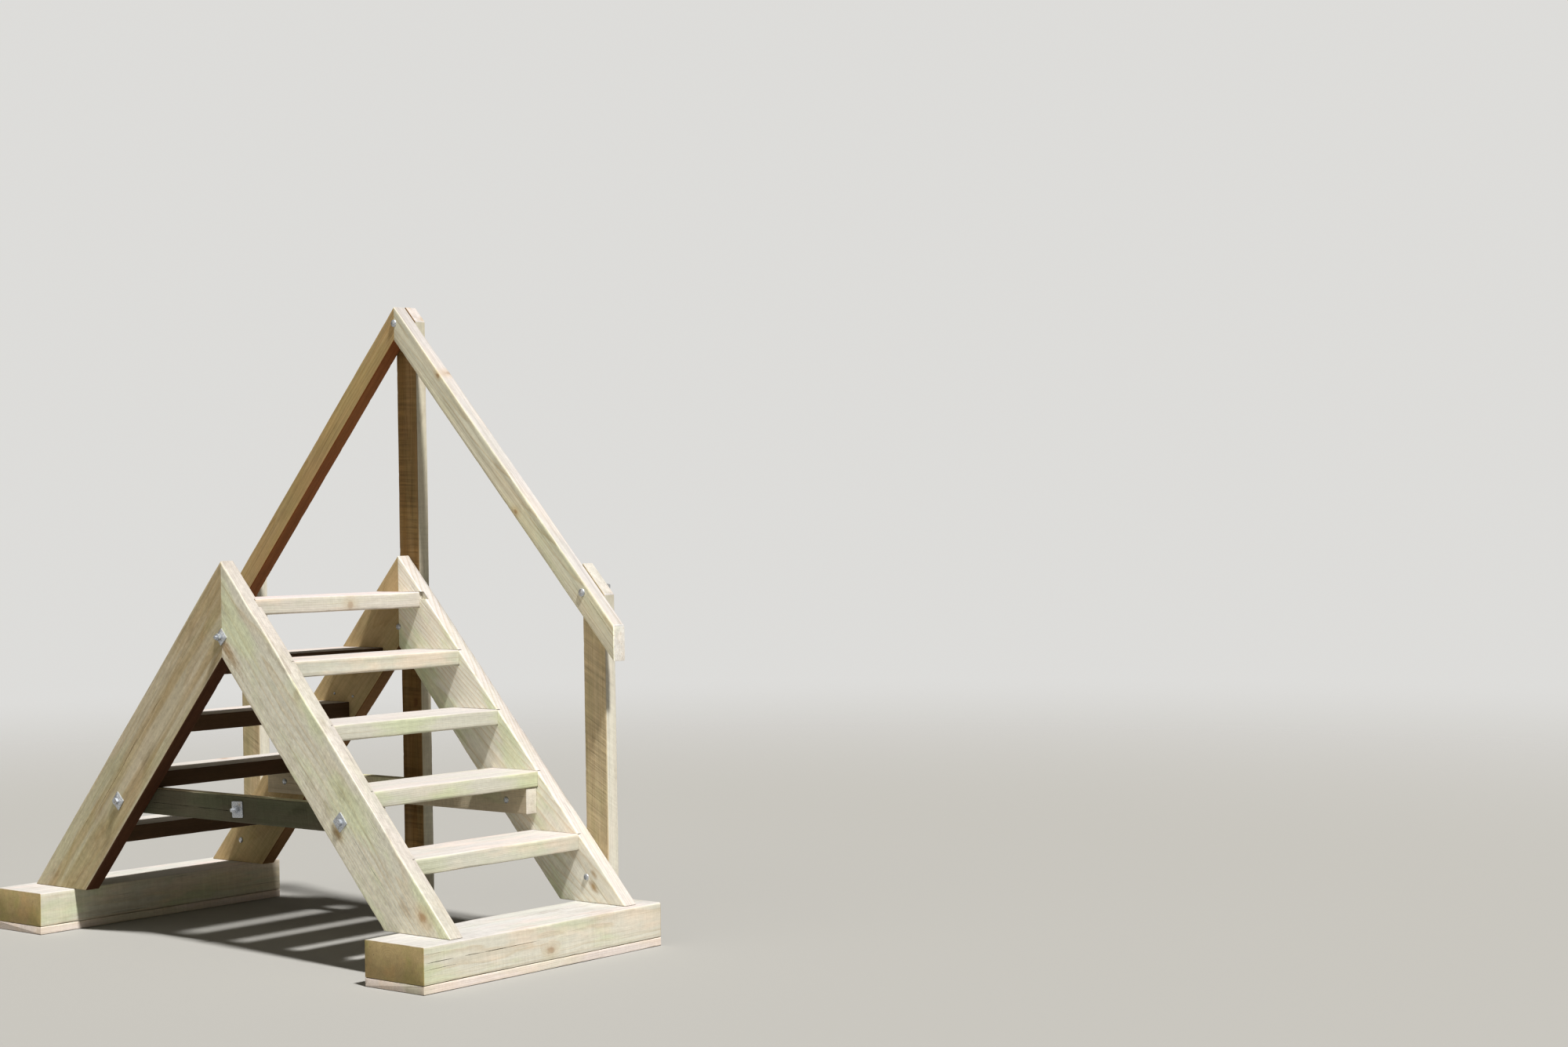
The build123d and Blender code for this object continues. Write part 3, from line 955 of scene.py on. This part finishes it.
class Steelwork:
    """Bolts, nuts and washers gathered into one mesh. They're drawn along +z, then placed."""

    def __init__(self, material):
        self.bm = bmesh.new()
        self.material = material

    def lathe(self, profile, sides, place, shape=None):
        """Turn (radius, height) pairs; shape(angle, radius) gives a square's or hexagon's radius."""
        rings = []
        for r, h in profile:
            ring = []
            for i in range(sides):
                a = 2 * math.pi * i / sides
                f = shape(a, r) if shape else r
                ring.append(self.bm.verts.new(place @ Vector((f * math.cos(a), f * math.sin(a), h))))
            rings.append(ring)
        for a, b in zip(rings, rings[1:]):
            for i in range(sides):
                j = (i + 1) % sides
                self.bm.faces.new((a[i], a[j], b[j], b[i]))
        self.bm.faces.new(rings[0][::-1])
        self.bm.faces.new(rings[-1])

    def washer(self, place, half, cup):
        """A square plate washer with softened corners; cup lifts its middle off the timber."""
        def square(a, r):
            a = (a + math.pi / 4) % (math.pi / 2) - math.pi / 4
            return min(r / math.cos(a), r * 1.36)
        profile = [(half * 0.4, cup), (half - 0.0006, 0.0), (half, 0.0008), (half, WASHER_T - 0.0008),
                   (half - 0.0008, WASHER_T), (half * 0.4, WASHER_T + cup)]
        self.lathe(profile, 48, place, square)

    def hexagon(self, place, high, both):
        """A nut or a bolt's head: a hexagon with chamfered corners, both ends of a nut."""
        apothem = NUT_FLATS / 2

        def corner(a, r):
            b = a % (math.pi / 3) - math.pi / 6
            return min(apothem / math.cos(b), r)
        big = apothem * 1.155
        profile = [(big * (0.93 if both else 1), 0.0), (big, 0.0012 if both else 0.0002),
                   (big, high - 0.0014), (big * 0.92, high)]
        self.lathe(profile, 48, place, corner)

    def stud(self, place, high):
        """A threaded end, its thread as close rings."""
        radius = STUD_RADIUS
        profile = [(radius, 0.0)]
        h = 0.0
        while h < high - 0.002:
            profile += [(radius, h + THREAD_PITCH * 0.35), (radius * 0.86, h + THREAD_PITCH * 0.75)]
            h += THREAD_PITCH
        profile += [(radius * 0.95, high - 0.001), (radius * 0.75, high)]
        self.lathe(profile, 20, place)

    def dome(self, x, y, z, radius, high):
        """A coach bolt's or nail's round head on a face that looks towards -Y."""
        steps = 7
        profile = [(radius * 0.97, -0.0005), (radius, 0.0006)]
        for i in range(1, steps + 1):
            a = math.pi / 2 * i / (steps + 0.4)
            profile.append((radius * math.cos(a), 0.0006 + (high - 0.0006) * math.sin(a)))
        self.lathe(profile, 28, facing(x, y, z, -1))

    def head_end(self, x, y, z, out, turn=0.0, half=WASHER_HALF, cup=0.0, nut=False):
        """A washer and a bolt's head or nut, on a timber's face at y."""
        high, skew = (NUT_HIGH, 0.3) if nut else (HEAD_HIGH, 0.1)
        self.washer(facing(x, y - out * WASHER_SUNK, z, out, turn), half, cup)
        self.hexagon(facing(x, y + out * (NUT_SEAT + cup), z, out, skew), high, nut)

    def nut_end(self, x, y, z, out, stud=0.012, turn=0.0, half=WASHER_HALF, cup=0.0):
        """A washer, a nut and the end of its bolt."""
        self.head_end(x, y, z, out, turn, half, cup, nut=True)
        self.stud(facing(x, y + out * (STUD_SEAT + cup), z, out), stud)

    def build(self, name):
        bmesh.ops.recalc_face_normals(self.bm, faces=self.bm.faces)
        mesh = new_mesh(self.bm, name)
        vertex_layer(mesh, "grain", vertex_places(mesh))
        mesh.materials.append(self.material)
        place_piece(mesh, 30)


def fastenings():
    """One piece for each bolt with what is on its two ends, and one for two nails."""
    material = steel()

    def coach_bolt(name, x, z, head_y, radius, high, nut_y, turn, stud=0.012):
        w = Steelwork(material)
        w.dome(x, head_y, z, radius, high)
        w.nut_end(x, nut_y, z, 1, stud, turn)
        w.build("bolt_" + name)

    apex_z, foot_z = APEX_Z - APEX_BOLT_DROP, SILL_TOP + POST_FOOT_BOLT
    rail_z = RAIL_APEX_Z - SLOPE * POST_X - RAIL_END_BOLT_DROP
    w = Steelwork(material)
    w.nut_end(0, OPEN_OUTER, apex_z, -1, stud=0.011, turn=CORNER_UP + 0.05, half=0.0190, cup=0.005)
    w.head_end(0, OPEN_INNER, apex_z, 1, turn=0.5)
    w.build("bolt_apex_open_side")
    coach_bolt("apex_rail_side", 0, apex_z, RAIL_INNER, 0.010, 0.006, POST_FACE, 0.2, stud=0.014)
    for flight, sign, cup in (("front", 1, 0.0), ("back", -1, 0.0045)):
        tie_x, post_x = sign * (TIE_END - TIE_BOLT_INSET), sign * POST_X
        w = Steelwork(material)
        w.head_end(tie_x, OPEN_OUTER, TIE_MID_Z, -1, turn=CORNER_UP + 0.06 * sign, half=0.0215, cup=cup)
        w.nut_end(tie_x, OPEN_TIE_FACE, TIE_MID_Z, 1, turn=0.25)
        w.build("bolt_tie_open_side_" + flight)
        coach_bolt("tie_rail_side_" + flight, tie_x, TIE_MID_Z, RAIL_TIE_FACE, 0.010, 0.0045, RAIL_OUTER, 0.2)
        coach_bolt("rail_" + flight, post_x, rail_z, RAIL_INNER, 0.0125, 0.006, POST_FACE, 0.1)
        coach_bolt("post_foot_" + flight, post_x, foot_z, RAIL_INNER, 0.010, 0.005, POST_FACE, -0.1)
    w = Steelwork(material)
    w.nut_end(0, OPEN_INNER, TIE_MID_Z, -1, stud=0.016, turn=-0.05)
    w.head_end(0, OPEN_TIE_FACE, TIE_MID_Z, 1)
    w.build("bolt_tie_centre")
    coach_bolt("rail_apex", 0, RAIL_APEX_Z - RAIL_APEX_BOLT_DROP, RAIL_INNER, 0.012, 0.006, POST_FACE, 0.0)
    w = Steelwork(material)
    for x, z in ((-0.228, 0.715), (-0.318, 0.722)):
        w.dome(x, RAIL_INNER, z, 0.0045, 0.003)
    w.build("nails_back_rail_side")


# Stage, light and camera
def stage():
    """A round paper floor that fades into the backdrop."""
    bm = bmesh.new()
    bmesh.ops.create_circle(bm, cap_ends=True, segments=96, radius=14.0)
    floor = new_object("floor", new_mesh(bm, "floor"))
    floor.location.z = -0.0004
    t = Tree("floor_paper")
    far = t.vec("LENGTH", t.node("TexCoord").outputs["Object"])
    t.set("Base Color", (0.34, 0.336, 0.323, 1))
    t.set("Roughness", 0.95)
    t.set("Specular IOR Level", 0.1)
    t.set("Alpha", t.range(far, 3.2, 12.5, 1.0, 0.0))
    floor.data.materials.append(t.material)


def backdrop():
    """A warm fill that lights the scene, and the pale grey that is seen behind it."""
    world = bpy.data.worlds.new("studio")
    bpy.context.scene.world = world
    world.use_nodes = True
    nodes, links = world.node_tree.nodes, world.node_tree.links
    nodes.clear()
    mix = nodes.new("ShaderNodeMixShader")
    for socket, colour, strength in ((1, (1.0, 0.94, 0.82, 1), 0.11), (2, (0.62, 0.615, 0.60, 1), 1.0)):
        background = nodes.new("ShaderNodeBackground")
        background.inputs[0].default_value = colour
        background.inputs[1].default_value = strength
        links.new(background.outputs[0], mix.inputs[socket])
    links.new(nodes.new("ShaderNodeLightPath").outputs["Is Camera Ray"], mix.inputs[0])
    links.new(mix.outputs[0], nodes.new("ShaderNodeOutputWorld").inputs[0])


def sun(name, energy, angle, colour, towards):
    """A distant lamp, angle degrees wide; towards points from the scene to it."""
    data = bpy.data.lights.new(name, "SUN")
    data.energy, data.angle, data.color = energy, math.radians(angle), colour
    lamp = new_object(name, data)
    lamp.rotation_mode = "QUATERNION"
    lamp.rotation_quaternion = Vector(towards).to_track_quat("Z", "Y")


def camera():
    """The photo's viewpoint: place, lens, and a turn about each axis in radians."""
    place, lens = (6.0045, -5.0281, 1.2643), 56.90
    yaw, pitch, roll = 0.8857, -0.0009, -0.0166
    data = bpy.data.cameras.new("camera")
    data.sensor_width, data.lens = 36.0, lens
    cam = new_object("camera", data)
    flat = math.cos(pitch)
    forward = Vector((-math.cos(yaw) * flat, math.sin(yaw) * flat, math.sin(pitch)))
    level = Vector((math.sin(yaw), math.cos(yaw), 0))
    upright = level.cross(forward)
    right = math.cos(roll) * level + math.sin(roll) * upright
    up = -math.sin(roll) * level + math.cos(roll) * upright
    turn = Matrix((right, up, -forward)).transposed()
    cam.matrix_world = Matrix.Translation(place) @ turn.to_4x4()
    bpy.context.scene.camera = cam


bpy.context.scene.view_settings.view_transform = "Standard"
bpy.context.scene.view_settings.look = "Medium High Contrast"
camera()
backdrop()
sun("key", 4.8, 5, (1.0, 0.985, 0.96), (0.52, -0.12, 1.0))
sun("soft", 0.5, 70, (1.0, 0.95, 0.84), (-0.15, -1.0, 0.35))
stage()
stringers()
treads()
bearers()
ties()
handrail()
posts()
fastenings()
